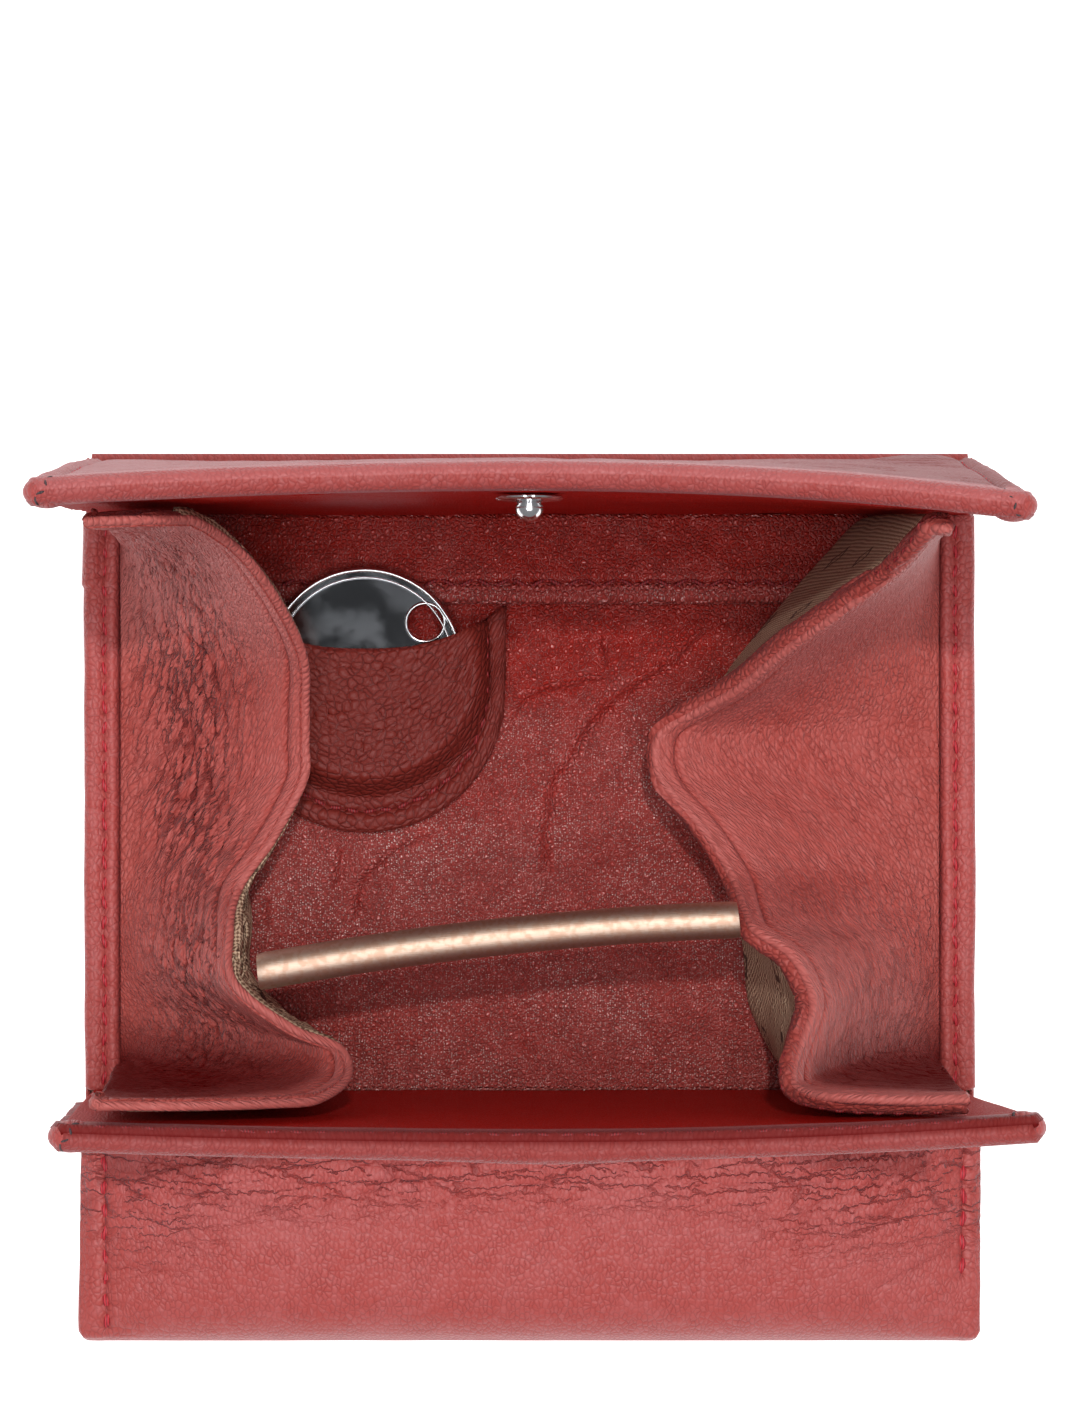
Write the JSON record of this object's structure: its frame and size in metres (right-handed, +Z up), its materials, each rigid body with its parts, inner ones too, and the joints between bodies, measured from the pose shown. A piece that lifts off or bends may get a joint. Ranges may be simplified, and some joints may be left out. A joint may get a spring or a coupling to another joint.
{
  "type": "leather wallet",
  "caption": "Compact wallet lying on its back, with a fold-out coin box open: flap, front wall, side gussets, token pocket, snap and rear note section.",
  "frame": {"origin": "on the resting face of the back, under the middle of the coin box, in line with the picture centre", "axes": "+X to the wallet's right as pictured, +Y from the bottom fold towards the flap, +Z up from the resting face"},
  "size_m": [0.1068, 0.105, 0.063],
  "materials": {
    "outer_leather": "pebbled red leather with a soft sheen",
    "inner_leather": "dark red leather, semi-gloss fine grain",
    "pocket_leather": "matt brownish red pebbled leather",
    "lining_fabric": "beige and brown woven lining",
    "board": "matt fibre stiffener",
    "fleece": "soft padding fleece",
    "snap_metal": "bright plated",
    "token_metal": "mirror plated",
    "rod_metal": "copper coloured tube, lightly tarnished"
  },
  "bodies": {
    "root": {"outer_leather": "outer_leather", "back_lining": "lining_fabric", "card_pocket_low": "inner_leather", "card_pocket_mid": "inner_leather", "card_pocket_high": "inner_leather", "bill_divider": "inner_leather", "base_board": "board", "floor_lining": "inner_leather", "interior_strip": "inner_leather", "binding_left": "outer_leather", "binding_right": "outer_leather", "front_hinge_lining": "inner_leather", "front_panel_lining": "lining_fabric", "spine_leather": "outer_leather", "spine_lining": "inner_leather", "spine_padding": "fleece", "token_pocket": "pocket_leather", "gusset_left_leather": "outer_leather", "gusset_left_lining": "lining_fabric", "gusset_right_leather": "outer_leather", "gusset_right_lining": "lining_fabric"},
    "flap": {"flap_leather": "outer_leather", "flap_lining": "inner_leather", "flap_stiffener": "board", "flap_padding": "fleece", "snap_stud": "snap_metal", "stud_back_plate": "snap_metal"},
    "front_wall": {"wall_leather": "outer_leather", "wall_lining": "inner_leather", "wall_stiffener": "board", "snap_socket": "snap_metal", "socket_spring": "snap_metal"},
    "token": {"trolley_token": "token_metal"},
    "rod": {"spreader_rod": "rod_metal"}
  },
  "joints": [
    {"name": "wall_fold", "type": "hinge", "parent": "root", "child": "front_wall", "pos_m": [0, -0.0445, 0.016], "axis": [-1, 0, 0], "range_deg": [0, 92.5], "deforming": ["gusset_left_leather", "gusset_left_lining", "gusset_right_leather", "gusset_right_lining"]},
    {"name": "flap_fold", "type": "hinge", "parent": "root", "child": "flap", "pos_m": [0, 0.0232, 0.0205], "axis": [1, 0, 0], "range_deg": [0, 90], "deforming": ["gusset_left_leather", "gusset_left_lining", "gusset_right_leather", "gusset_right_lining"]},
    {"name": "rod_drop", "type": "slide", "parent": "root", "child": "rod", "axis": [0, 0, -1], "range_m": [0, 0.0187]},
    {"name": "token_slide", "type": "slide", "parent": "root", "child": "token", "axis": [0, 1, 0], "range_m": [0, 0.0055]}
  ],
  "couplings": [
    {"joint": "rod_drop", "follows": "wall_fold", "m_per_rad": 0.01152}
  ]
}
